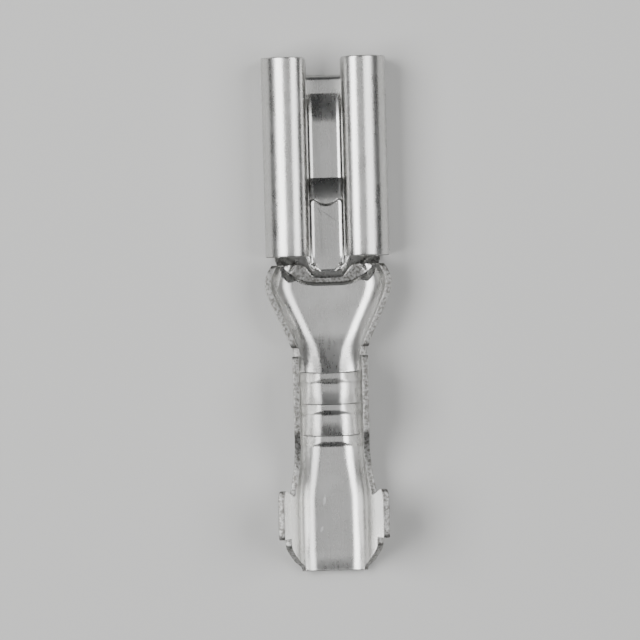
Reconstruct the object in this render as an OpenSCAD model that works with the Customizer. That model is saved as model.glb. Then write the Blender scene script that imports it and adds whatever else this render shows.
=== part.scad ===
// Female spade terminal, uninsulated, for a 2.8 mm tab.
// One strip of tin-plated brass, stamped flat and folded: two rolled curls and a
// sprung floor grip the tab, an open U holds the bare wire and taller flared wings
// hold the insulation. It lies open side up. The mouth faces +Y, +Z is up, and the
// origin is below the middle of the whole length, on the plane it rests on.

/* [Strip] */
// Thickness of the strip
sheet_t = 0.2; // [0.15:0.01:0.25]

/* [Receptacle] */
// Length of the two curls
curl_len = 6.1; // [5.5:0.1:8]
// Width across the outside of the curls
receptacle_w = 3.8; // [3.6:0.1:4.6]
// Height from the underside to the top of the curls
receptacle_h = 1.7; // [1.6:0.05:2.2]
// Outside radius of the lower corners
corner_r = 0.5; // [0.35:0.05:0.6]
// Outside radius of each curl, from its side to its top
curl_r = 0.8; // [0.6:0.05:0.9]
// Outside radius of each curl, from its top in to its lip
lip_r = 0.58; // [0.4:0.02:0.7]
// Angle that the lip turns past the top of the curl
lip_turn = 130; // [95:5:150]
// Length of the cut-back corner at the front of each lip
lip_cut_l = 0.35; // [0.1:0.05:0.6]
// Depth of that corner along the curl
lip_cut_d = 0.3; // [0.1:0.05:0.5]

/* [Receptacle floor] */
// How far the floor's front edge stands behind the ends of the curls
floor_setback = 0.52; // [0.2:0.02:0.8]
// Half width of the flat floor between the curls
floor_half = 1.2; // [1:0.05:1.25]
// Length of the lead-in lip in front of the sprung tongue
lead_in = 0.56; // [0.3:0.02:0.8]
// Length of the rounded edge at the front of the lip
lip_edge_l = 0.16; // [0.05:0.01:0.25]
// Depth of that edge below the floor
lip_edge_d = 0.1; // [0.02:0.01:0.12]
// Half width of the flat top of the sprung tongue and of the pad behind it
tongue_half = 0.38; // [0.3:0.01:0.7]
// Rise of the tongue above the floor
tongue_rise = 0.22; // [0.05:0.01:0.3]
// Length of the ramp up to the tongue
tongue_ramp = 0.92; // [0.5:0.02:1.2]
// Length of the tongue behind its ramp
tongue_len = 1.68; // [1:0.02:2]
// Length of the scoop that ends the tongue
tongue_scoop = 0.8; // [0.3:0.02:0.9]
// Width of the raised rim along each side of the tongue and pad
rim_w = 0.09; // [0.04:0.01:0.15]
// Height of that rim
rim_h = 0.03; // [0.005:0.005:0.05]
// Slope of the sides outside the rims
side_angle = 45; // [30:1:60]
// Rise of the rear pad above the floor
pad_rise = 0.08; // [0.02:0.01:0.15]
// Length of the steep edge at the front of the pad
pad_edge = 0.07; // [0.03:0.01:0.12]
// Depth of the round notch in the front of the pad
pad_notch = 0.18; // [0.05:0.01:0.3]
// Radius of the pad's rounded corners
pad_corner = 0.18; // [0.05:0.01:0.3]

/* [Tab stop] */
// Height of the curved stop pressed up across the floor
stop_h = 0.2; // [0.1:0.01:0.3]
// Half width of the stop
stop_half = 1.65; // [1:0.05:1.7]
// Distance from the front of the transition to the rear foot of the stop
stop_set = 0.62; // [0.5:0.01:0.8]
// Length of the crest of the stop
stop_crest = 0.16; // [0.05:0.01:0.25]
// How much longer the crest is on either side of the pad
stop_widen = 0.3; // [0:0.02:0.36]
// Gap between the end of the pad and the crest of the stop
stop_gap = 0.26; // [0.15:0.01:0.4]
// Length of the steep rear edge of the stop
stop_edge = 0.07; // [0.04:0.01:0.12]
// How far the ends of the stop curve forward
stop_sweep = 0.7; // [0:0.02:0.7]

/* [Transition] */
// Slit between the curls and the transition walls
slit = 0.25; // [0.15:0.01:0.4]
// Half width of the metal left between the slits, measured along the strip
slit_half = 1.6; // [1.2:0.05:1.8]
// Length of the tapered transition
transition_len = 2.53; // [2:0.01:4]
// Width across the transition at its shoulders
shoulder_w = 3.92; // [3.6:0.02:4.6]
// Inside radius of the bends at the shoulders
shoulder_r = 0.7; // [0.4:0.01:0.8]
// Angle between each tapered wall and the centre line
taper_angle = 25; // [15:1:35]
// Height of the transition walls
transition_h = 1.25; // [0.9:0.05:1.6]
// How far the front ends of the walls are drawn in
front_draw = 0.24; // [0.05:0.01:0.4]
// Length over which they are drawn in
front_curve = 0.65; // [0.3:0.05:1]
// How much lower the walls are at their front ends
front_drop = 0.12; // [0:0.01:0.4]

/* [Wire barrel] */
// Gap in the wall in front of the wire wings
notch_len = 0.27; // [0.15:0.01:0.5]
// Height of the wall left in that gap
notch_h = 0.66; // [0.5:0.02:0.9]
// Length of the wire wings
wire_len = 2.5; // [2:0.1:4]
// Inside radius of the wire barrel
wire_r = 0.95; // [0.7:0.01:1.2]
// Height of the wire wings
wire_h = 1.95; // [1.5:0.05:2.6]
// Number of serration grooves across the barrel
grooves = 3; // [1:1:3]
// Distance from one groove to the next
groove_pitch = 0.97; // [0.6:0.01:0.97]
// Distance from the front of the wings to the first groove
groove_start = 0.52; // [0.2:0.02:0.6]
// Width of the flat bottom of a groove
groove_flat = 0.2; // [0.05:0.01:0.25]
// Length of the sloped rear side of a groove
groove_slope = 0.14; // [0.05:0.01:0.2]
// Depth of a groove
groove_depth = 0.06; // [0.02:0.01:0.1]

/* [Insulation barrel] */
// Length of the low-walled neck behind the wire barrel
neck_len = 1.77; // [1.2:0.01:3]
// Height of the neck's walls where they are lowest
neck_h = 0.95; // [0.7:0.05:1.2]
// Height of the neck's walls at its two ends
neck_end_h = 1.3; // [0.8:0.05:1.6]
// Where the section starts to open, from the front of the neck
flare_start = 0.25; // [0:0.05:0.8]
// Length over which the section opens
flare_len = 1.85; // [1:0.05:2.2]
// Length of the insulation wings at their full height
grip_len = 1.3; // [0.8:0.1:2.4]
// Half width of the flat bottom between the wings
grip_floor_half = 0.49; // [0.2:0.01:0.9]
// Inside radius of the bend up into each wing
grip_r = 0.6; // [0.3:0.02:1]
// Slope of the wings, from the floor
grip_angle = 75; // [60:1:90]
// Height of the insulation wings
grip_h = 2.25; // [1.8:0.05:3]
// Height of the walls just behind the wings
tail_h = 1.5; // [1:0.05:1.7]
// Length of the tail behind the wings
tail_len = 1.03; // [0.8:0.01:1.5]
// Straight length of wall at the front of the tail
tail_straight = 0.18; // [0.05:0.01:0.3]
// Height of the metal at the very end
tail_end_h = 0.28; // [0.25:0.01:0.6]

/* [Hidden] */
mid_t = sheet_t / 2;
wire_out = wire_r + sheet_t;
edge_round = 0.08;
overshoot = 0.5;
seam = 0.05;
least_flat = 0.1;

// Stations along the strip, as distances behind the ends of the curls
v_lip = floor_setback;
v_ramp = v_lip + lead_in;
v_tongue = v_ramp + tongue_ramp;
v_drop = v_tongue + tongue_len;
v_pad = v_drop + tongue_scoop;
v_transition = curl_len + slit;
v_stop = v_transition + stop_set;
v_pad_end = v_stop - stop_edge - stop_crest - stop_gap;
v_notch = v_transition + transition_len;
v_wire = v_notch + notch_len;
v_neck = v_wire + wire_len;
v_grip = v_neck + neck_len;
v_tail = v_grip + grip_len;
total_len = v_tail + tail_len;

function y_of(v) = total_len / 2 - v;
function clamp01(u) = min(1, max(0, u));
// Smooth step from 0 to 1, level at both ends
function ease(u) = let (c = clamp01(u)) c * c * (3 - 2 * c);
function mix(a, b, u) = a + (b - a) * u;
// The lower of two values, with the corner between them rounded off
function soft_min(a, b, k) = (a + b - sqrt((a - b) * (a - b) + k * k)) / 2;
function steps(a, b, n) = [for (i = [0:n]) mix(a, b, i / n)];
function reversed(list) = [for (i = [len(list) - 1:-1:0]) list[i]];

// ---- Height pressed into the floor ----

// How far a point lies beyond a limit, as a share of the length r: 0 before it, 1 at r and on
function beyond(d, limit, r) = clamp01((d - limit) / r);
// The tongue along its length: a ramp that starts at a crease, a level top and a scoop
function tongue_z(v) =
    let (up = beyond(v, v_ramp, tongue_ramp), down = 1 - beyond(v, v_drop, tongue_scoop))
    tongue_rise * mix(ease(up), 1 - (1 - up) * (1 - up), 0.35) * down * down;
// The pad has a round notch in its front edge, and rounded corners
function pad_front(x) =
    v_pad - pad_notch * pow(min(1, abs(x) / tongue_half), 2)
          + pad_corner * pow(beyond(abs(x), tongue_half, pad_corner), 2);
function pad_rear(x) =
    v_pad_end - pad_corner * pow(beyond(abs(x), tongue_half - pad_corner, pad_corner), 2);
function pad_z(x, v) =
    pad_rise * ease((v - pad_front(x)) / pad_edge) * (1 - ease((v - pad_rear(x)) / edge_round));
// The sides of the tongue and pad: a raised rim, then a steep fall
function side_z(x) =
    let (d = max(0, abs(x) - tongue_half))
    rim_h * min(1, d / rim_w) - tan(side_angle) * max(0, d - rim_w);
// The stop is a crescent: a slope up, a level crest that dies away towards its ends, a steep rear
function stop_z(x, v) =
    let (out = beyond(abs(x), tongue_half, stop_half - tongue_half),
         rear = v_stop - stop_sweep * out * out,
         level = (stop_crest + stop_widen * ease(3 * out)) * (1 - ease(beyond(out, 0.45, 0.25))),
         crest = rear - stop_edge - level,
         foot = mix(v_pad_end, min(curl_len, crest - edge_round), ease(4 * out)))
    stop_h * (1 - ease((v - rear + stop_edge) / stop_edge)) * beyond(v, foot, crest - foot)
           * (1 - ease(beyond(out, 0.65, 0.35)));
// What the rounded front edge takes off the top of the floor
function lip_z(v) = -lip_edge_d * pow(1 - beyond(v, v_lip, lip_edge_l), 2);
function floor_z(x, v) =
    let (raised = max(tongue_z(v), pad_z(x, v)))
    max(0, raised + side_z(x) * min(1, raised / pad_rise)) + stop_z(x, v);

// ---- Folding ----
// A half section is a list of [outer point, inner point] pairs, from the centre line outwards.

function pair(p, a) = let (n = mid_t * [sin(a), -cos(a)]) [p + n, p - n];
// The folded strip at a distance s from its centre line: flat, then a bend of radius r
// (to the middle of the strip) up to the angle a, then straight
function fold(s, f, r, a) =
    let (turned = (s - f) / r * 180 / PI)
    s <= f ? pair([s, mid_t], 0)
    : turned <= a ? pair([f + r * sin(turned), mid_t + r * (1 - cos(turned))], turned)
    : let (rest = s - f - r * a * PI / 180)
      pair([f + r * sin(a) + rest * cos(a), mid_t + r * (1 - cos(a)) + rest * sin(a)], a);
// Width of strip, from the centre line, whose folded edge reaches the height h
function strip_for(h, f, r, a) =
    let (top = mid_t + r * (1 - cos(a)))
    h >= top ? f + r * a * PI / 180 + (h - top) / sin(a)
             : f + r * acos(1 - (h - mid_t) / r) * PI / 180;
// One half section, folded from a floor of half width f up to the height h
function half_section(f, r, a, h) =
    let (edge = strip_for(h, f, r, a), bend = min(f + r * a * PI / 180, edge - 0.02))
    concat([for (s = steps(0, bend, 10)) fold(s, f, r, a)], [fold(edge, f, r, a)]);

// ---- Solids ----

// Both halves of a section as one closed loop
function loop(half) =
    let (left = [for (i = [len(half) - 1:-1:1]) half[i]])
    concat([for (p = left) [-p[0][0], p[0][1]]], [for (p = half) p[0]],
           [for (p = reversed(half)) p[1]], [for (p = reversed(left)) [-p[1][0], p[1][1]]]);

// A strip of metal through a list of [v, half section] stations, front to back
module strip(stations) {
    rings = [for (s = stations) [for (p = loop(s[1])) [p[0], y_of(s[0]), p[1]]]];
    n = len(rings[0]);
    last = len(rings) - 1;
    sides = [for (k = [0:last - 1], i = [0:n - 1])
        let (a = k * n + i, b = k * n + (i + 1) % n, c = b + n, d = a + n)
        each [[a, c, b], [a, d, c]]];
    ends = [for (i = [0:n / 2 - 2])
        let (a = i, b = i + 1, c = n - 2 - i, d = n - 1 - i, o = last * n)
        each [[a, b, c], [a, c, d], [o + a, o + c, o + b], [o + a, o + d, o + c]]];
    polyhedron(points = [for (r = rings) each r], faces = concat(sides, ends));
}

// A flat 2D section in X and Z, drawn out backwards from station v over a length
module drawn(v, length) {
    translate([0, y_of(v), 0]) rotate([90, 0, 0]) linear_extrude(length) children();
}

// Pairs of points round a bend whose outside radius is r
function turn(c, r, a0, a1, n) =
    [for (a = steps(a0, a1, n)) let (u = [cos(a), sin(a)]) [c + r * u, c + (r - sheet_t) * u]];

module curl_section() {
    side = receptacle_w / 2;
    half = concat(
        [[[floor_half - seam, 0], [floor_half - seam, sheet_t]]],
        turn([side - corner_r, corner_r], corner_r, -90, 0, 8),
        turn([side - curl_r, receptacle_h - curl_r], curl_r, 0, 90, 12),
        turn([side - curl_r, receptacle_h - lip_r], lip_r, 90, 90 + lip_turn, 16));
    polygon(concat([for (p = half) p[0]], [for (p = reversed(half)) p[1]]));
}

// The part of a curl's lip that is cut back at the mouth
module lip_corner() {
    inner = receptacle_w / 2 - curl_r - lip_r;
    translate([0, y_of(0), sheet_t + tongue_rise + 0.01]) linear_extrude(receptacle_h)
        polygon([[0, overshoot], [inner + lip_cut_l, overshoot], [inner + lip_cut_l, 0],
                 [inner, -lip_cut_d], [0, -lip_cut_d]]);
}

module curls() {
    for (side = [0, 1]) mirror([side, 0, 0]) difference() {
        drawn(0, curl_len) curl_section();
        lip_corner();
    }
}

// Floor of the receptacle, with the lead-in lip, the tongue and the pad
module receptacle_floor() {
    xs = concat(steps(0, tongue_half, 3), [tongue_half + rim_w],
                steps(tongue_half + 2 * rim_w, floor_half, 4));
    vs = concat(steps(v_lip, v_lip + lip_edge_l, 4), [v_ramp - 0.02], steps(v_ramp, v_tongue, 7),
                steps(v_drop, v_pad - pad_notch, 4), steps(v_pad - 0.8 * pad_notch, v_pad + edge_round, 6),
                steps(curl_len - pad_corner, curl_len, 2));
    strip([for (v = vs)
        [v, [for (x = xs) let (z = floor_z(x, v)) [[x, z], [x, sheet_t + z + lip_z(v)]]]]]);
}

// One half of the bent section with the relief pressed into it, out to an edge that may lie on
// the bend or on the flat
function pressed_half(v, f, r, edge) =
    let (split = min(f, edge - least_flat))
    [for (s = concat(steps(0, split, 8), [for (w = steps(split, edge, 8)) if (w > split) w]))
        let (p = fold(s, f, r, 90), z = floor_z(p[1][0], v)) [p[0] + [0, z], p[1] + [0, z]]];
// Flat half width and bend radius of the transition at station v
function transition_bend(v) =
    let (ahead = 1 - beyond(v, v_transition, front_curve),
         half_w = soft_min(shoulder_w / 2 + 0.02, wire_out + (v_notch - v) * tan(taper_angle), 0.12)
                  - front_draw * ahead * ahead,
         u = ease((v - v_transition) / transition_len),
         r = min(mix(shoulder_r, wire_r, u * u), half_w - sheet_t - least_flat) + mid_t)
    [half_w - mid_t - r, r];
// Between the slits the section changes from the receptacle's to the transition's
module slit_floor() {
    strip([for (u = steps(0, 1, 4))
        let (v = curl_len + u * slit, b = transition_bend(v_transition),
             f = mix(receptacle_w / 2 - corner_r, b[0], u), r = mix(corner_r - mid_t, b[1], u))
        [v, pressed_half(v, f, r, slit_half)]]);
}
module transition() {
    vs = concat(steps(v_transition, v_stop + 0.04, 12), steps(v_stop + 0.25, v_notch, 6));
    strip([for (v = vs)
        let (b = transition_bend(v), ahead = 1 - beyond(v, v_transition, front_curve),
             h = transition_h - front_drop * ahead * ahead)
        [v, pressed_half(v, b[0], b[1], strip_for(h, b[0], b[1], 90))]]);
}

module notch() {
    strip([for (v = [v_notch, v_wire]) [v, half_section(seam / 4, wire_r + mid_t, 90, notch_h)]]);
}

// Half-round channel of radius r with straight sides up to the height h
module channel(r, h) {
    intersection() {
        translate([0, wire_out]) circle(r, $fn = 96);
        translate([-r, wire_out - r]) square([2 * r, r]);
    }
    translate([-r, wire_out]) square([2 * r, h - wire_out]);
}

// Cross-section of one groove: radius against distance along the barrel
module groove_shape() {
    polygon([[wire_r - 0.1, 0], [wire_r + groove_depth, 0], [wire_r + groove_depth, -groove_flat],
             [wire_r, -groove_flat - groove_slope], [wire_r - 0.1, -groove_flat - groove_slope]]);
}
module groove() {
    translate([0, 0, wire_out]) {
        rotate([-90, 0, 0]) rotate_extrude(angle = 180, $fn = 96) groove_shape();
        for (side = [0, 1]) mirror([side, 0, 0]) linear_extrude(wire_h) groove_shape();
    }
}

module wire_wings() {
    difference() {
        drawn(v_wire, wire_len) channel(wire_out, wire_h);
        drawn(v_wire - overshoot, wire_len + 2 * overshoot) channel(wire_r, wire_h + overshoot);
    }
}
// The wings and the neck behind them, with the grooves cut across both
module wire_barrel() {
    difference() {
        union() {
            wire_wings();
            neck();
        }
        for (i = [0:grooves - 1])
            translate([0, y_of(v_wire + groove_start + i * groove_pitch), 0]) groove();
    }
}

// Section behind the wire barrel at station v: the wire channel opens into the flared grip
function rear_half(v, h) =
    let (u = ease((v - v_neck - flare_start) / flare_len))
    half_section(mix(seam / 4, grip_floor_half, u), mix(wire_r, grip_r, u) + mid_t,
                 mix(90, grip_angle, u), h);
module neck() {
    strip([for (v = steps(v_neck, v_grip, 14))
        let (u = (v - v_neck) / neck_len, bow = pow(abs(u - 0.65) / 0.65, 2))
        [v, rear_half(v, mix(neck_h, neck_end_h, min(1, bow)))]]);
}
module grip() {
    vs = concat([v_grip, v_grip + edge_round], steps(v_grip + 0.3, v_tail - 0.3, 2),
                [v_tail - edge_round, v_tail]);
    strip([for (v = vs)
        let (near = min(v - v_grip, v_tail - v) / edge_round)
        [v, rear_half(v, grip_h - edge_round * (1 - clamp01(near)))]]);
}
module tail() {
    strip([for (v = concat([v_tail], steps(v_tail + tail_straight, total_len, 10)))
        let (u = clamp01((v - v_tail - tail_straight) / (tail_len - tail_straight)))
        [v, rear_half(v, mix(tail_h, tail_end_h, 1 - pow(1 - u, 1.6)))]]);
}

// The whole folded strip
module terminal_body() {
    color("silver") {
        curls();
        receptacle_floor();
        slit_floor();
        transition();
        notch();
        wire_barrel();
        grip();
        tail();
    }
}

terminal_body();
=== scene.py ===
"""Looks of an uninsulated female spade terminal: one folded strip of tin-plated brass.

The strip is built as the real one is made: a flat blank, whose outline is given by widths
measured along the metal from the centre line, is folded section by section.
v is the distance behind the ends of the curls, and s the distance along the folded metal
from the centre line. Both are in millimetres, as are all sizes of the strip; build() turns
them into metres in the frame's own axes. The floor, the lights and the camera are in metres.
"""

import math
from collections import namedtuple

import bpy
import numpy as np
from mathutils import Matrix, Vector


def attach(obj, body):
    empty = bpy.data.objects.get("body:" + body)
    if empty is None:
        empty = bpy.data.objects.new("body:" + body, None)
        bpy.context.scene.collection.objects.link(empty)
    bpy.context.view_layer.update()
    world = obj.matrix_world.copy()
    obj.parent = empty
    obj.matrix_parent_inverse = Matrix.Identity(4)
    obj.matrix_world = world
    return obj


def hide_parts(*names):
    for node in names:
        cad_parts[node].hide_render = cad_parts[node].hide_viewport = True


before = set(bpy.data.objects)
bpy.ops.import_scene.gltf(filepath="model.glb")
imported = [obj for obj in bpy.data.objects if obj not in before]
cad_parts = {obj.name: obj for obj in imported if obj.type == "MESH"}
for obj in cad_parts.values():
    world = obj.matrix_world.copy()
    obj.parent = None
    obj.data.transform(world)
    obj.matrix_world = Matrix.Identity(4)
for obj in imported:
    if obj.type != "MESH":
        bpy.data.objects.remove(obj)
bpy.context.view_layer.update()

MM = 0.001
NODE = "terminal_body"

# ---- Sizes (mm) and angles (degrees) ----

# Strip
SHEET_T = 0.2
MID_T = SHEET_T / 2
LEAST_METAL = 0.01      # thickness left whatever is pressed into the metal
EDGE_R = 0.028          # rounding left on the cut edges
WING_CORNER_R = 0.1     # rounding of the corners of all the wings but the curls'

# Receptacle
CURL_LEN = 6.1
RECEPTACLE_W = 3.8
RECEPTACLE_H = 1.7
CORNER_R = 0.5
CURL_R = 0.8
LIP_R = 0.58
LIP_TURN = 130.0
LIP_CUT_TURN = 88.0     # how much of that turn the cut-back corner removes at the mouth
LIP_CUT_LEN = 0.62

# Its floor
FLOOR_SETBACK = 0.52
FLOOR_HALF = 1.2
LEAD_IN = 0.56
LIP_EDGE_L = 0.16
LIP_EDGE_D = 0.1
TONGUE_HALF = 0.38
TONGUE_RISE = 0.22
TONGUE_RAMP = 0.92
TONGUE_CREASE = 0.35    # share of the ramp's curve that starts at a crease
TONGUE_LEN = 1.68
TONGUE_SCOOP = 0.8
RIM_W = 0.09
RIM_H = 0.03
RIM_END = 0.5           # where the rims start to die away, in front of the pad's end
RIM_FADE = 0.3          # and over what length
SIDE_ANGLE = 45.0
PAD_RISE = 0.08
PAD_EDGE = 0.07
PAD_NOTCH = 0.18
PAD_CORNER = 0.18
EDGE_ROUND = 0.08       # length of the pad's rear edge, and the least length of the stop's slope

# Tab stop. "Out" is the way from the tongue's side to the end of the stop, from 0 to 1.
STOP_H = 0.2
STOP_HALF = 1.65
STOP_SET = 0.62
STOP_CREST = 0.16
STOP_WIDEN = 0.3
STOP_WIDEN_RATE = 3     # the crest has its extra length at a third of the way out
STOP_FOOT_RATE = 4      # the slope's foot has left the pad at a quarter of the way out
STOP_NARROWS = (0.45, 0.25)     # from where, and over how much, the crest becomes a longer fall
STOP_FADES = (0.65, 0.35)       # from where, and over how much, the whole stop sinks
STOP_GAP = 0.26
STOP_EDGE = 0.07
STOP_END_FALL = 0.25    # how much longer the rear fall is at the ends
STOP_SWEEP = 0.7

# Transition
SLIT = 0.25
SLIT_HALF = 1.6
PRESSED_HALF = SLIT_HALF + 0.3  # half width of the metal that the floor's relief can reach
TRANSITION_LEN = 2.53
SHOULDER_W = 3.91
SHOULDER_R = 0.7
SHOULDER_BLEND = 0.12   # softness of the change from the shoulders to the taper
SHOULDER_TRIM = 0.02    # half width given back for what that softness takes off
TAPER = 25.0
TRANSITION_H = 1.25
FRONT_DRAW = 0.24
FRONT_CURVE = 0.65
FRONT_DROP = 0.12

# Wire barrel
NOTCH_LEN = 0.27
NOTCH_H = 0.66
WIRE_LEN = 2.5
WIRE_R = 0.95
WIRE_H = 1.95
BARREL_FLAT = 0.18      # half width of the flattest part of the barrel's bottom
NECK_FLAT = 0.28        # and of the neck's
FLAT_CHANGE = (1.0, 1.5)        # how far in front of the neck it starts to change, and its length
FLAT_BLEND = 0.2        # softness of the change from the tapered floor to the barrel's bottom
SIDE_BLEND = 0.1        # and from the tapered sides to the barrel's

# Serration grooves, and the metal pushed up in front of them
GROOVES = 3
GROOVE_PITCH = 0.97
GROOVE_START = 0.52
GROOVE_FRONT = 0.015    # length of a groove's steep front side
GROOVE_FLAT = 0.2
GROOVE_SLOPE = 0.14
GROOVE_DEPTH = 0.06
GROOVE_SHALLOW = 0.2    # share of the depth that is left up the walls
GROOVE_FADE = (0.3, 0.5)        # from what s, and over what length, the depth goes down to that
GROOVE_BOW = 0.09       # how far the grooves bend forward up the walls
BOW_REACH = 1.8         # the s at which they have bent that far
BOW_IN = 0.3            # length over which the bow sets in at the barrel's front
BOW_OUT = (0.3, 0.5)    # where it starts to die away behind the barrel, and over what length
SWELLS = [(1.25, 0.26), (0.45, 0.09), (0.45, 0.09)]     # length and height, one for each groove
SWELL_CURVE = 1.6       # power of the rise towards the groove
SWELL_FADE = (0.5, 1.0)         # from what s, and over what length, the swells die away

# Neck and insulation barrel
NECK_LEN = 1.77
NECK_H = 0.95
NECK_END_H = 1.3
NECK_LOW = 0.65         # where the neck's walls are lowest, as a share of its length
FLARE_START = 0.25
FLARE_LEN = 1.85
GRIP_LEN = 1.3
GRIP_FLOOR_HALF = 0.49
GRIP_R = 0.6
GRIP_ANGLE = 75.0
GRIP_H = 2.25
WING_LEAN = 0.2         # how far the grip wings' front edges lean forward
LEAN_IN = 0.01          # length over which the lean sets in, in front of the wings
LEAN_OUT = (0.3, 0.9)   # where it starts to die away behind their front edges, and over what length

# Tail
TAIL_H = 1.5
TAIL_END_H = 0.28
TAIL_LEN = 1.03
TAIL_STRAIGHT = 0.18
TAIL_FALL = 1.06        # how fast its edge falls; 1 for a fall that ends at the tail's very end
TAIL_SPINE = 0.62       # half width of the tail's spine, as a share of the whole
TAIL_LIFT_L = 0.6       # slight upward bend of the tail's end
TAIL_LIFT_H = 0.08

# x, y, length, width (mm), angle and brightness of the few handling marks
SCRATCHES = [(-0.28, -5.71, 0.5, 0.12, 84, 0.95), (-0.38, -6.6, 0.26, 0.14, 70, 0.9),
             (0.07, 3.03, 0.85, 0.045, -36, 0.3), (-0.2, 3.15, 0.4, 0.04, -62, 0.35),
             (-0.95, -0.4, 0.5, 0.04, 40, 0.4)]

# Stations along the strip
V_LIP = FLOOR_SETBACK
V_RAMP = V_LIP + LEAD_IN
V_TONGUE = V_RAMP + TONGUE_RAMP
V_DROP = V_TONGUE + TONGUE_LEN
V_PAD = V_DROP + TONGUE_SCOOP
V_CURL = CURL_LEN
V_TRANSITION = V_CURL + SLIT
V_STOP = V_TRANSITION + STOP_SET
V_PAD_END = V_STOP - STOP_EDGE - STOP_CREST - STOP_GAP
V_NOTCH = V_TRANSITION + TRANSITION_LEN
V_WIRE = V_NOTCH + NOTCH_LEN
V_GROOVES = [V_WIRE + GROOVE_START + i * GROOVE_PITCH for i in range(GROOVES)]
V_NECK = V_WIRE + WIRE_LEN
V_GRIP = V_NECK + NECK_LEN
V_TAIL = V_GRIP + GRIP_LEN
TOTAL = V_TAIL + TAIL_LEN


def clamp01(u):
    return np.clip(u, 0.0, 1.0)


def ease(u):
    """Smooth step from 0 to 1, level at both ends."""
    c = clamp01(u)
    return c * c * (3 - 2 * c)


def mix(a, b, u):
    return a + (b - a) * u


def soft_min(a, b, k):
    """The lower of two values, with the corner between them rounded off."""
    return (a + b - math.sqrt((a - b) ** 2 + k * k)) / 2


def soft_max(a, b, k):
    return -soft_min(-a, -b, k)


def beyond(d, limit, r):
    """How far d lies beyond a limit, as a share of the length r."""
    return clamp01((d - limit) / r)


# ---- Relief pressed into the floor ----

def tongue_z(v):
    """A ramp that starts at a crease, a level top and a scoop."""
    up, down = beyond(v, V_RAMP, TONGUE_RAMP), 1 - beyond(v, V_DROP, TONGUE_SCOOP)
    return TONGUE_RISE * mix(ease(up), 1 - (1 - up) ** 2, TONGUE_CREASE) * down ** 2


def pad_z(x, v):
    """A plate with a round notch in its front edge, and rounded corners."""
    front = (V_PAD - PAD_NOTCH * np.minimum(1, np.abs(x) / TONGUE_HALF) ** 2
             + PAD_CORNER * beyond(np.abs(x), TONGUE_HALF, PAD_CORNER) ** 2)
    rear = V_PAD_END - PAD_CORNER * beyond(np.abs(x), TONGUE_HALF - PAD_CORNER, PAD_CORNER) ** 2
    return PAD_RISE * ease((v - front) / PAD_EDGE) * (1 - ease((v - rear) / EDGE_ROUND))


def side_z(x, v):
    """The sides of the tongue and pad: a raised rim, then a steep fall."""
    d = np.maximum(0, np.abs(x) - TONGUE_HALF)
    rim = RIM_H * (1 - ease(beyond(v, V_PAD_END - RIM_END, RIM_FADE)))
    fall = math.tan(math.radians(SIDE_ANGLE)) * np.maximum(0, d - RIM_W)
    return rim * np.minimum(1, d / RIM_W) - fall


def stop_z(x, v):
    """A crescent: a slope up, a crest that dies away towards its ends and a steep rear."""
    out = beyond(np.abs(x), TONGUE_HALF, STOP_HALF - TONGUE_HALF)
    narrowed = ease(beyond(out, *STOP_NARROWS))
    rear = V_STOP - STOP_SWEEP * out ** 2
    level = (STOP_CREST + STOP_WIDEN * ease(STOP_WIDEN_RATE * out)) * (1 - narrowed)
    crest = rear - STOP_EDGE - level
    foot = mix(V_PAD_END, np.minimum(V_CURL, crest - EDGE_ROUND), ease(STOP_FOOT_RATE * out))
    fall = STOP_EDGE + STOP_END_FALL * narrowed
    rise = (1 - ease((v - rear + STOP_EDGE) / fall)) * beyond(v, foot, crest - foot)
    return STOP_H * rise * (1 - ease(beyond(out, *STOP_FADES)))


def floor_z(x, v):
    """The whole relief, by which both sides of the metal are raised."""
    raised = np.maximum(tongue_z(v), pad_z(x, v))
    return np.maximum(0, raised + side_z(x, v) * np.minimum(1, raised / PAD_RISE)) + stop_z(x, v)


# ---- What is taken off, or pushed up from, the inside alone ----

def lip_loss(v):
    """What the rounded front edge takes off the top of the floor."""
    return LIP_EDGE_D * (1 - beyond(v, V_LIP, LIP_EDGE_L)) ** 2


def groove_loss(s, v):
    """What the serration grooves take off the inside; they are shallower up the walls."""
    depth = GROOVE_DEPTH * mix(1, GROOVE_SHALLOW, ease(beyond(s, *GROOVE_FADE)))
    loss = np.zeros_like(s)
    for start in V_GROOVES:
        front = beyond(v, start, GROOVE_FRONT) * depth
        rear = (1 - beyond(v, start + GROOVE_FLAT, GROOVE_SLOPE)) * GROOVE_DEPTH
        loss = np.maximum(loss, np.minimum(front, rear))
    return loss


def swell_z(s, v):
    """Metal pushed up in front of each groove, most in front of the first."""
    swell = 0.0
    for start, (length, height) in zip(V_GROOVES, SWELLS):
        if v <= start:
            swell = max(swell, height * beyond(v, start - length, length) ** SWELL_CURVE)
    return swell * (1 - ease(beyond(s, *SWELL_FADE)))


# ---- Folding ----
# A half section is a list of (length, turn in degrees) of its stretches, from the centre line
# out. The last one goes on as it is for as long as there is metal.

def curl_section():
    side = RECEPTACLE_H - CURL_R - CORNER_R
    flat = RECEPTACLE_W / 2 - CORNER_R
    return [(flat, 0), (math.radians(90) * (CORNER_R - MID_T), 90), (side, 0),
            (math.radians(90) * (CURL_R - MID_T), 90),
            (math.radians(LIP_TURN) * (LIP_R - MID_T), LIP_TURN)]


def bend_section(flat, radius, angle):
    """A floor, one bend up to the angle, and straight on from there."""
    return [(flat, 0), (math.radians(angle) * radius, angle), (0, 0)]


def widening(v):
    """How much further out the sides lie than the barrel's; below 0 past the tapered walls."""
    ahead = 1 - float(beyond(v, V_TRANSITION, FRONT_CURVE))
    shoulder = SHOULDER_W / 2 + SHOULDER_TRIM - WIRE_R - SHEET_T
    taper = (V_NOTCH - v) * math.tan(math.radians(TAPER))
    return soft_min(shoulder, taper, SHOULDER_BLEND) - FRONT_DRAW * ahead ** 2


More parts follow.
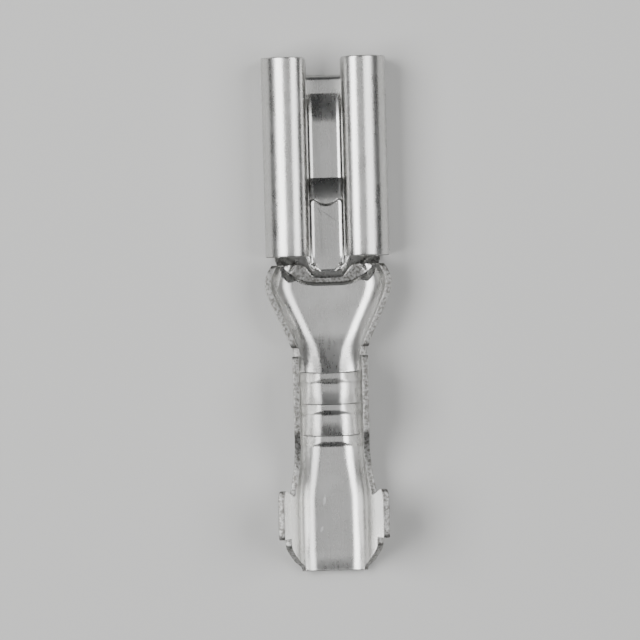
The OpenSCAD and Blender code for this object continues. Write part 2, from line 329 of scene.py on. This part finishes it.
def open_bend(v):
    """Flat half width, bend radius and angle of the channel behind the slits.

    It is tapered, then round in the barrel, then flared at the grip.
    """
    before, length = FLAT_CHANGE
    flat = mix(BARREL_FLAT, NECK_FLAT, float(ease(beyond(v, V_NECK - before, length))))
    flat = soft_max(WIRE_R - SHOULDER_R + widening(v), flat, FLAT_BLEND)
    radius = WIRE_R + soft_max(widening(v), 0, SIDE_BLEND) - flat
    u = float(ease(beyond(v, V_NECK + FLARE_START, FLARE_LEN)))
    return (mix(flat, GRIP_FLOOR_HALF, u), mix(radius, GRIP_R, u) + MID_T,
            mix(90.0, GRIP_ANGLE, u))


def section(v):
    """The half section at station v; between the slits one kind changes into the other."""
    if v <= V_CURL:
        return curl_section()
    if v >= V_TRANSITION:
        return bend_section(*open_bend(v))
    u = (v - V_CURL) / SLIT
    flat, r, angle = open_bend(V_TRANSITION)
    return bend_section(mix(RECEPTACLE_W / 2 - CORNER_R, flat, u), mix(CORNER_R - MID_T, r, u),
                        angle)


def fold(s, stretches):
    """x, z and slope angle of the middle of the metal at distances s along a half section."""
    x, z, turned = np.zeros_like(s), np.full_like(s, MID_T), np.zeros_like(s)
    x0, z0, a0, s0 = 0.0, MID_T, 0.0, 0.0
    for n, (length, turn) in enumerate(stretches):
        here = s >= s0 - 1e-12
        t = np.minimum(s[here] - s0, length if n < len(stretches) - 1 else np.inf)
        turn = math.radians(turn)
        if turn:
            r = length / turn
            a = a0 + t / r
            x[here] = x0 + r * (np.sin(a) - math.sin(a0))
            z[here] = z0 - r * (np.cos(a) - math.cos(a0))
            turned[here] = a
            x0 += r * (math.sin(a0 + turn) - math.sin(a0))
            z0 -= r * (math.cos(a0 + turn) - math.cos(a0))
        else:
            x[here] = x0 + t * math.cos(a0)
            z[here] = z0 + t * math.sin(a0)
            turned[here] = a0
            x0 += length * math.cos(a0)
            z0 += length * math.sin(a0)
        a0 += turn
        s0 += length
    return x, z, turned


def strip_for(h, flat, r, angle):
    """Half width of strip whose folded edge reaches the height h."""
    a = math.radians(angle)
    top = MID_T + r * (1 - math.cos(a))
    if h >= top:
        return flat + r * a + (h - top) / math.sin(a)
    return flat + r * math.acos(1 - (h - MID_T) / r)


# ---- Outline of the flat blank: half widths at station v ----

def corner_loss(v, v0, v1):
    """How far a rounded corner draws the edge in, near either end of a wing."""
    d = min(v - v0, v1 - v)
    if d >= WING_CORNER_R:
        return 0.0
    return WING_CORNER_R - math.sqrt(max(0.0, WING_CORNER_R ** 2 - (WING_CORNER_R - d) ** 2))


def notch_edge(v):
    return strip_for(NOTCH_H, *open_bend(v))


def neck_edge(v):
    u = (v - V_NECK) / NECK_LEN
    bow = (abs(u - NECK_LOW) / NECK_LOW) ** 2
    return strip_for(mix(NECK_H, NECK_END_H, min(1, bow)), *open_bend(v))


def tail_edge(v):
    u = float(beyond(v, V_TAIL + TAIL_STRAIGHT, TAIL_LEN - TAIL_STRAIGHT))
    return strip_for(mix(TAIL_H, TAIL_END_H, float(ease(TAIL_FALL * u))), *open_bend(v))


def spine_edge(v):
    """Half width of the spine, the part that runs on through the slits and the notches."""
    if v <= V_CURL:
        return mix(FLOOR_HALF, SLIT_HALF, float(beyond(v, V_PAD, V_CURL - V_PAD)))
    if v <= V_TRANSITION:
        return SLIT_HALF
    if v <= V_NOTCH:
        return mix(SLIT_HALF, notch_edge(V_WIRE), (v - V_TRANSITION) / TRANSITION_LEN)
    if v <= V_TAIL:
        return notch_edge(min(v, V_NECK))
    return min(notch_edge(V_NECK), TAIL_SPINE * tail_edge(v))


def wall_edge(v):
    """Half width out to the low walls, the neck's and the tail's, and a line that leads there."""
    if v < V_TRANSITION:
        return CURL_WALL
    if v < V_WIRE:
        return mix(spine_edge(v), wing_edge(v), 0.5)
    if v <= V_NECK:
        return neck_edge(V_NECK)
    if v <= V_GRIP:
        return neck_edge(v)
    if v <= V_TAIL:
        return mix(neck_edge(V_GRIP), tail_edge(V_TAIL), (v - V_GRIP) / GRIP_LEN)
    return tail_edge(v)


def wing_edge(v):
    """Half width out to the edges of the curls and the wings."""
    if v <= V_CURL:
        whole = sum(length for length, turn in curl_section())
        cut = math.radians(LIP_CUT_TURN) * (LIP_R - MID_T)
        return whole - cut * (1 - math.sqrt(1 - (1 - float(beyond(v, 0, LIP_CUT_LEN))) ** 2))
    if v <= V_NOTCH:
        ahead = 1 - float(beyond(v, V_TRANSITION, FRONT_CURVE))
        h = TRANSITION_H - FRONT_DROP * ahead ** 2 - corner_loss(v, V_TRANSITION, V_NOTCH)
    elif v <= V_NECK:
        h = WIRE_H - corner_loss(v, V_WIRE, V_NECK)
    else:
        h = GRIP_H - corner_loss(v, V_GRIP, V_TAIL)
    return strip_for(h, *open_bend(v))


# ---- The grid over the blank ----
# Rows run across the strip at stations v, columns along it. Columns come in three groups from
# the centre line out, each of which ends at an edge that is cut in some zones of the strip.

SPINE, WALL, WING = 0, 1, 2
EDGES = {SPINE: spine_edge, WALL: wall_edge, WING: wing_edge}
COLUMNS = {SPINE: 28, WALL: 12, WING: 18}
CURL_WALL = 2.2         # where the wall's columns end in the curls, which have no low wall (mm)
RIM_SPACING = 0.03      # between the columns over the tongue and its rim (mm)
LEAST_SPACING = 0.0035  # rows that would stand closer become one (mm)
ROUND_STEPS = [0.0, 0.134, 0.5, 1.0]    # lines on a rounded cut edge, as shares of its radius

Zone = namedtuple("Zone", "start end spacing groups cut_start cut_end")
ZONES = [
    Zone(0.0, V_LIP, 0.05, (WALL, WING), (WALL, WING), ()),
    Zone(V_LIP, V_CURL, 0.25, (SPINE, WALL, WING), (SPINE,), (WALL, WING)),
    Zone(V_CURL, V_TRANSITION, 0.05, (SPINE,), (), ()),
    Zone(V_TRANSITION, V_NOTCH, 0.09, (SPINE, WALL, WING), (WALL, WING), (WALL, WING)),
    Zone(V_NOTCH, V_WIRE, 0.09, (SPINE,), (), ()),
    Zone(V_WIRE, V_NECK, 0.12, (SPINE, WALL, WING), (WALL, WING), (WING,)),
    Zone(V_NECK, V_GRIP, 0.07, (SPINE, WALL), (), ()),
    Zone(V_GRIP, V_TAIL, 0.1, (SPINE, WALL, WING), (WING,), (WING,)),
    Zone(V_TAIL, TOTAL, 0.04, (SPINE, WALL), (), (SPINE, WALL)),
]

# (from station, to station, row spacing) where the relief is sharp
SHARP = [(V_LIP, V_LIP + LIP_EDGE_L, 0.02), (V_RAMP - 0.02, V_RAMP + 0.04, 0.01),
         (V_RAMP, V_TONGUE, 0.07), (V_DROP - 0.02, V_DROP + 0.04, 0.015),
         (V_DROP, V_PAD, 0.06), (V_PAD - PAD_NOTCH - 0.01, V_PAD + 0.08, 0.016),
         (V_CURL, V_PAD_END - PAD_CORNER, 0.04), (V_PAD_END - PAD_CORNER, V_STOP + 0.06, 0.026),
         (V_STOP + 0.06, V_STOP + 0.6, 0.05)]
for g in V_GROOVES:
    SHARP.append((g - GROOVE_FRONT, g + 2 * GROOVE_FRONT, GROOVE_FRONT))
    SHARP.append((g + GROOVE_FLAT - 0.02, g + GROOVE_FLAT + GROOVE_SLOPE + 0.02, 0.03))


def spread(a, b, step):
    """Positions from a to b, evenly spaced, about a step apart."""
    n = max(1, round((b - a) / step))
    return [mix(a, b, i / n) for i in range(n + 1)]


def edge_lines(lo, hi, step):
    """Positions from lo to hi, closer together at both ends, where a cut edge is rounded."""
    first = [lo + EDGE_R * k for k in ROUND_STEPS]
    last = [hi - EDGE_R * k for k in reversed(ROUND_STEPS)]
    return first[:-1] + spread(first[-1], last[0], step) + last[1:]


def station_key(v):
    return round(v, 6)


def row_stations():
    """All the stations that have a row; those that bound a zone are kept exactly."""
    rows = []
    for zone in ZONES:
        rows += edge_lines(zone.start, zone.end, zone.spacing)
    for a, b, step in SHARP:
        rows += spread(a, b, step)
    rows = sorted(rows)
    fixed = {station_key(zone.start) for zone in ZONES} | {station_key(TOTAL)}
    kept = [rows[0]]
    for v in rows[1:]:
        if v - kept[-1] > LEAST_SPACING:
            kept.append(v)
        elif station_key(v) in fixed:
            kept[-1] = v
    return kept


def half_columns(v):
    """Distances along the metal of every column at station v, and each one's group."""
    rim_end = TONGUE_HALF + RIM_W
    s = spread(0, TONGUE_HALF, RIM_SPACING) + spread(TONGUE_HALF, rim_end, RIM_SPACING)[1:]
    groups = [SPINE] * len(s)
    for g, count in COLUMNS.items():
        # the last columns of each group stand where its own cut edge would be rounded
        edge = EDGES[g](v)
        inner = [mix(s[-1], edge - EDGE_R, i / count) for i in range(1, count + 1)]
        inner += [edge - EDGE_R * k for k in reversed(ROUND_STEPS)][1:]
        s += inner
        groups += [g] * len(inner)
    return np.array(s), np.array(groups)


def edge_distance(v, s, groups, zone):
    """Distance from each column to the nearest cut edge, within a zone."""
    d = EDGES[max(zone.groups)](v) - s
    if SPINE not in zone.groups:
        d = np.minimum(d, np.abs(s - spine_edge(v)))
    for g in zone.cut_start:
        d = np.where(groups == g, np.minimum(d, v - zone.start), d)
    for g in zone.cut_end:
        d = np.where(groups == g, np.minimum(d, zone.end - v), d)
    return np.maximum(d, 0)


def half_thickness(d):
    """Half the thickness of the metal at distance d from a cut edge."""
    short = np.maximum(0, EDGE_R - d)
    return MID_T - EDGE_R + np.sqrt(np.maximum(0, EDGE_R ** 2 - short ** 2))


def window(v, start, rise, end, fall):
    """1 from start + rise to end, falling smoothly to 0 at start and at end + fall."""
    return float(ease(beyond(v, start, rise)) * (1 - ease(beyond(v, end, fall))))


def forward(v, s):
    """How far points lie in front of their station: bowed grooves, leaning grip wings."""
    after, fall = BOW_OUT
    bow = window(v, V_WIRE, BOW_IN, V_NECK + after, fall)
    after, fall = LEAN_OUT
    lean = window(v, V_GRIP - LEAN_IN, LEAN_IN, V_GRIP + after, fall)
    foot = wall_edge(V_GRIP)
    up = ease((s - foot) / (wing_edge(V_GRIP + after) - foot))
    return GROOVE_BOW * bow * clamp01(s / BOW_REACH) ** 2 + WING_LEAN * lean * up


def row_points(v, s, half_t):
    """Lower and upper surface points of a row's half, as (x, y, z) in mm."""
    x, z, a = fold(s, section(v))
    nx, nz = np.sin(a), -np.cos(a)
    pressed = s < PRESSED_HALF
    lift = TAIL_LIFT_H * float(beyond(v, TOTAL - TAIL_LIFT_L, TAIL_LIFT_L)) ** 2
    relief = np.where(pressed, floor_z(x, v), 0) + lift
    loss = groove_loss(s, v) - swell_z(s, v) + np.where(pressed, lip_loss(v), 0)
    y = TOTAL / 2 - v + forward(v, s)
    low = np.stack([x + nx * half_t, y, z + nz * half_t + relief], 1)
    up_t = np.maximum(half_t - loss, LEAST_METAL - half_t)
    high = np.stack([x - nx * up_t, y, z - nz * up_t + relief], 1)
    return low, high


# ---- The mesh ----
# A grid point is (row, column, side), where side is 1 or -1 and the centre line's is 1. It has
# two vertices, layer 0 on the outside of the folded strip and layer 1 on the inside.

def metal(rows, columns):
    """Half thickness at each row and column, where there is metal at all, and its cells."""
    row_of = {station_key(v): i for i, v in enumerate(rows)}
    groups = columns[0][1]
    thick = np.zeros((len(rows), len(groups)))
    used = np.zeros((len(rows), len(groups)), bool)
    cells = []
    for zone in ZONES:
        first, last = row_of[station_key(zone.start)], row_of[station_key(zone.end)]
        inside = np.isin(groups, zone.groups)
        touched = inside.copy()
        touched[:-1] |= inside[1:]
        for i in range(first, last + 1):
            here = half_thickness(edge_distance(rows[i], columns[i][0], groups, zone))
            thick[i] = np.where(touched, np.maximum(thick[i], here), thick[i])
            used[i] |= touched
            if i < last:
                cells += [(i, j) for j in range(len(groups) - 1) if inside[j + 1]]
    return thick, used, cells


def skin(cells, index):
    """Faces outside and inside of each cell on both sides, and round every cut edge."""
    faces, edges = [], {}
    for i, j in cells:
        for side in (1, -1):
            ring = [(i, j), (i, j + 1), (i + 1, j + 1), (i + 1, j)]
            if side == 1:
                ring.reverse()
            ring = [(a, b, side if b else 1) for a, b in ring]
            faces.append([index[(*p, 0)] for p in reversed(ring)])
            faces.append([index[(*p, 1)] for p in ring])
            for p, q in zip(ring, ring[1:] + ring[:1]):
                # an edge that two cells share is not cut
                if (q, p) in edges:
                    del edges[(q, p)]
                else:
                    edges[(p, q)] = True
    for p, q in edges:
        faces.append([index[(*q, 1)], index[(*p, 1)], index[(*p, 0)], index[(*q, 0)]])
    return faces


def strip_mesh():
    """Vertices in mm, faces, and how far each vertex lies on a cut edge and up the stop (0-1); the
    latter places the painted shade on the stop.
    """
    rows = row_stations()
    columns = [half_columns(v) for v in rows]
    thick, used, cells = metal(rows, columns)
    verts, cut, stop_shade, index = [], [], [], {}
    for i, v in enumerate(rows):
        s = columns[i][0]
        low, high = row_points(v, s, thick[i])
        # share of the stop's height, which places the painted shade on its upper slope and crest
        crest = stop_z(low[:, 0], v) / STOP_H * (s < SLIT_HALF)
        for j in np.nonzero(used[i])[0]:
            for side in ((1, -1) if j else (1,)):
                for layer, p in enumerate((low[j], high[j])):
                    index[(i, j, side, layer)] = len(verts)
                    verts.append((side * p[0], p[1], p[2]))
                    cut.append((MID_T - thick[i, j]) / EDGE_R)
                    stop_shade.append(crest[j])
    return np.array(verts), skin(cells, index), cut, stop_shade


# ---- Material ----

TIN_DULL = (0.60, 0.595, 0.58, 1)
TIN_BRIGHT = (0.70, 0.70, 0.69, 1)
STREAK_COLOUR = (0.5, 0.5, 0.49, 1)
# colours of the torn cut edges, also used as painted shade on the stop's upper slope and crest
TORN_AND_SHADE_DARK = (0.17, 0.165, 0.155, 1)
TORN_AND_SHADE_PALE = (0.46, 0.46, 0.45, 1)

TIN_ROUGHNESS = (0.22, 0.30)
STREAK_ROUGHNESS = 0.4
TORN_ROUGHNESS = 0.5

# Heights of the fine relief (mm)
GRAIN_H = 0.0022
TORN_H = 0.01

# The part of each noise's range that is used, from none to all of its effect
CLOUD_RANGE = (0.3, 0.7)
STREAK_RANGE = (0.35, 0.7)
TORN_RANGE = (0.4, 0.6)

# Share of a cut edge over which a vertex changes from plain to torn, and share of the stop's height
# over which it takes the same darker colours as painted shade
CUT_RANGE = (0.0, 0.5)
STOP_SHADE_RANGE = (0.55, 0.95)

NOISE_ROUGHNESS = 0.6
STREAK_STRETCH = (13.0, 0.7, 13.0)      # cells per mm: long along the strip, narrow across it
STREAK_DARK = 0.22      # how much of the streaks' colour shows
STREAK_DULL = 0.35      # and of their roughness
SCRATCH_EDGE = (0.9, 1.3)       # where a mark starts to fade and has gone, from its middle out
ENDLESS = 1e6           # a mark's height, so that it reaches the metal at any height


def node(tree, kind, **inputs):
    """A new shader node with constants on its sockets; an underscore stands for a space."""
    n = tree.nodes.new(kind)
    for name, value in inputs.items():
        n.inputs[name.replace("_", " ")].default_value = value
    return n


def vector_math(tree, operation, vector):
    n = tree.nodes.new("ShaderNodeVectorMath")
    n.operation = operation
    tree.links.new(vector, n.inputs[0])
    return n


def noise(tree, vector, scale, detail, stretch=None):
    """Noise with its scale in cells per millimetre, stretched if asked."""
    if stretch:
        n = vector_math(tree, "MULTIPLY", vector)
        n.inputs[1].default_value = stretch
        vector = n.outputs[0]
    n = node(tree, "ShaderNodeTexNoise", Scale=scale, Detail=detail,
             Roughness=NOISE_ROUGHNESS)
    tree.links.new(vector, n.inputs["Vector"])
    return n.outputs["Fac"]


def remap(tree, value, from_min, from_max, to_min=0.0, to_max=1.0):
    n = node(tree, "ShaderNodeMapRange", From_Min=from_min, From_Max=from_max, To_Min=to_min,
             To_Max=to_max)
    tree.links.new(value, n.inputs["Value"])
    return n.outputs["Result"]


def blend(tree, share, a, b, kind="FLOAT"):
    """Mix of two values or colours; either may be a socket or a constant."""
    n = tree.nodes.new("ShaderNodeMix")
    n.data_type = kind
    first = 6 if kind == "RGBA" else 2
    for socket, value in ((n.inputs[0], share), (n.inputs[first], a), (n.inputs[first + 1], b)):
        if isinstance(value, bpy.types.NodeSocket):
            tree.links.new(value, socket)
        else:
            socket.default_value = value
    return n.outputs[2 if kind == "RGBA" else 0]


def attribute(tree, name, low, high):
    """A mesh attribute, stretched so that it runs from 0 at low to 1 at high."""
    n = tree.nodes.new("ShaderNodeAttribute")
    n.attribute_name = name
    return remap(tree, n.outputs["Fac"], low, high)


def scratch(tree, at, ragged, x, y, length, width, angle):
    """A ragged thin mark at x, y in mm, at an angle to the strip's width: 1 inside, 0 outside."""
    place = tree.nodes.new("ShaderNodeMapping")
    place.vector_type = "TEXTURE"
    place.inputs["Location"].default_value = (x, y, 0)
    place.inputs["Rotation"].default_value = (0, 0, math.radians(angle))
    place.inputs["Scale"].default_value = (length / 2, width / 2, ENDLESS)
    tree.links.new(at, place.inputs["Vector"])
    far = vector_math(tree, "LENGTH", place.outputs["Vector"])
    add = tree.nodes.new("ShaderNodeMath")
    add.operation = "ADD"
    tree.links.new(far.outputs["Value"], add.inputs[0])
    tree.links.new(ragged, add.inputs[1])
    return remap(tree, add.outputs[0], *SCRATCH_EDGE, 1.0, 0.0)


def tin_material():
    """Tin plating on rolled strip: satin, faint streaks and marks; the cut edges are torn, and the
    stop's upper slope and crest take the same darker colours as painted shade.
    """
    mat = bpy.data.materials.new("tin_plating")
    mat.use_nodes = True
    tree = mat.node_tree
    bsdf = tree.nodes["Principled BSDF"]
    bsdf.inputs["Metallic"].default_value = 1.0
    coord = tree.nodes.new("ShaderNodeTexCoord")
    in_mm = vector_math(tree, "SCALE", coord.outputs["Object"])
    in_mm.inputs["Scale"].default_value = 1 / MM
    at = in_mm.outputs[0]

    cut = attribute(tree, "cut_edge", *CUT_RANGE)
    stop_shade = attribute(tree, "stop_shade", *STOP_SHADE_RANGE)
    cloud = noise(tree, at, 1.3, 4.0)
    streak = noise(tree, at, 1.0, 3.0, STREAK_STRETCH)
    grain = noise(tree, at, 12.0, 2.0)
    torn = noise(tree, at, 13.0, 4.0)

    face = blend(tree, remap(tree, cloud, *CLOUD_RANGE), TIN_DULL, TIN_BRIGHT, "RGBA")
    streaks = remap(tree, streak, *STREAK_RANGE, 0.0, STREAK_DARK)
    face = blend(tree, streaks, face, STREAK_COLOUR, "RGBA")
    for *shape, grey in SCRATCHES:
        face = blend(tree, scratch(tree, at, torn, *shape), face, (grey, grey, grey, 1), "RGBA")
    torn_and_shade_colour = blend(tree, remap(tree, torn, *TORN_RANGE), TORN_AND_SHADE_DARK, TORN_AND_SHADE_PALE, "RGBA")
    # painted shade: the upper slope and crest of the stop take the torn edges' darker, mottled
    # colours
    face = blend(tree, stop_shade, face, torn_and_shade_colour, "RGBA")
    tree.links.new(blend(tree, cut, face, torn_and_shade_colour, "RGBA"), bsdf.inputs["Base Color"])

    satin = remap(tree, cloud, *CLOUD_RANGE, *TIN_ROUGHNESS)
    streaks = remap(tree, streak, *STREAK_RANGE, 0.0, STREAK_DULL)
    satin = blend(tree, streaks, satin, STREAK_ROUGHNESS)
    tree.links.new(blend(tree, cut, satin, TORN_ROUGHNESS), bsdf.inputs["Roughness"])

    relief = blend(tree, cut, grain, torn)
    bump = node(tree, "ShaderNodeBump", Strength=1.0)
    tree.links.new(relief, bump.inputs["Height"])
    tree.links.new(blend(tree, cut, GRAIN_H * MM, TORN_H * MM), bump.inputs["Distance"])
    tree.links.new(bump.outputs["Normal"], bsdf.inputs["Normal"])
    return mat


def build():
    verts, faces, cut, stop_shade = strip_mesh()
    mesh = bpy.data.meshes.new("folded_strip")
    mesh.from_pydata((verts * MM).tolist(), [], faces)
    for name, values in (("cut_edge", cut), ("stop_shade", stop_shade)):
        mesh.attributes.new(name, "FLOAT", "POINT").data.foreach_set("value", values)
    mesh.validate()
    mesh.update()
    strip = bpy.data.objects.new("folded_strip", mesh)
    bpy.context.scene.collection.objects.link(strip)
    for p in mesh.polygons:
        p.use_smooth = True
    mesh.materials.append(tin_material())
    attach(strip, "root")
    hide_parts(NODE)
    print("strip:", len(verts), "vertices,", 2 * len(faces), "triangles")


# ---- Floor, lights and camera (m) ----

STAGE_HALF = 0.4
STAGE_COLOUR = (0.62, 0.62, 0.61, 1)
STAGE_ROUGHNESS = 0.8

# Large panels at both sides
SIDE_TILT = 38.0        # degrees from straight above
SIDE_REACH = 0.22       # distance from the point they face
SIDE_Y = 0.03           # how far towards the mouth they and that point are
SIDE_SIZE = (0.2, 0.13)
LEFT_WATTS = 0.62
RIGHT_WATTS = 0.35

# A weak panel overhead
OVERHEAD_Z = 0.3
OVERHEAD_SIZE = (0.12, 0.11)
OVERHEAD_WATTS = 0.032

# Low panels beyond the ends, for what is seen from there; what is seen from above they hardly light
END_TILT = 76.0
END_REACH = 0.35
END_SIZE = (0.4, 0.1)
END_WATTS = 0.03

WORLD_COLOUR = (0.9, 0.95, 1.0, 1)
WORLD_STRENGTH = 0.03

CAMERA_PLACE = (-0.00028, -0.00017, 0.18)
CAMERA_ROLL = -1.43     # degrees
PICTURE_W = 0.0197      # width of what the picture shows
SENSOR_W = 36           # in the camera's own millimetres


def stage():
    mesh = bpy.data.meshes.new("floor")
    corners = [(-1, -1), (1, -1), (1, 1), (-1, 1)]
    mesh.from_pydata([(STAGE_HALF * x, STAGE_HALF * y, 0) for x, y in corners], [], [(0, 1, 2, 3)])
    floor = bpy.data.objects.new("floor", mesh)
    bpy.context.scene.collection.objects.link(floor)
    mat = bpy.data.materials.new("floor_paint")
    mat.use_nodes = True
    paint = mat.node_tree.nodes["Principled BSDF"]
    paint.inputs["Base Color"].default_value = STAGE_COLOUR
    paint.inputs["Roughness"].default_value = STAGE_ROUGHNESS
    mesh.materials.append(mat)


def area_light(name, place, size, watts, aim=(0, 0, 0)):
    """A rectangular panel, its size in two directions, that faces the point it is aimed at."""
    data = bpy.data.lights.new(name, "AREA")
    data.shape = "RECTANGLE"
    data.size, data.size_y = size
    data.energy = watts
    light = bpy.data.objects.new(name, data)
    light.location = place
    light.rotation_euler = (Vector(aim) - Vector(place)).to_track_quat("-Z", "Y").to_euler()
    bpy.context.scene.collection.objects.link(light)


def lights():
    tilt = math.radians(SIDE_TILT)
    for name, side, watts in (("left", -1, LEFT_WATTS), ("right", 1, RIGHT_WATTS)):
        place = (side * SIDE_REACH * math.sin(tilt), SIDE_Y, SIDE_REACH * math.cos(tilt))
        area_light(name, place, SIDE_SIZE, watts, aim=(0, SIDE_Y, 0))
    area_light("overhead", (0, 0, OVERHEAD_Z), OVERHEAD_SIZE, OVERHEAD_WATTS)
    tilt = math.radians(END_TILT)
    for name, end in (("mouth_end", 1), ("tail_end", -1)):
        place = (0, end * END_REACH * math.sin(tilt), END_REACH * math.cos(tilt))
        area_light(name, place, END_SIZE, END_WATTS)
    world = bpy.data.worlds.new("studio")
    world.use_nodes = True
    world.node_tree.nodes["Background"].inputs["Color"].default_value = WORLD_COLOUR
    world.node_tree.nodes["Background"].inputs["Strength"].default_value = WORLD_STRENGTH
    bpy.context.scene.world = world


def camera():
    """Straight down on the open side, with the mouth at the top of the picture."""
    data = bpy.data.cameras.new("camera")
    data.sensor_width = SENSOR_W
    data.lens = SENSOR_W * CAMERA_PLACE[2] / PICTURE_W
    data.clip_start = 0.01
    cam = bpy.data.objects.new("camera", data)
    cam.location = CAMERA_PLACE
    cam.rotation_euler = (0, 0, math.radians(CAMERA_ROLL))
    bpy.context.scene.collection.objects.link(cam)
    bpy.context.scene.camera = cam


build()
stage()
lights()
camera()
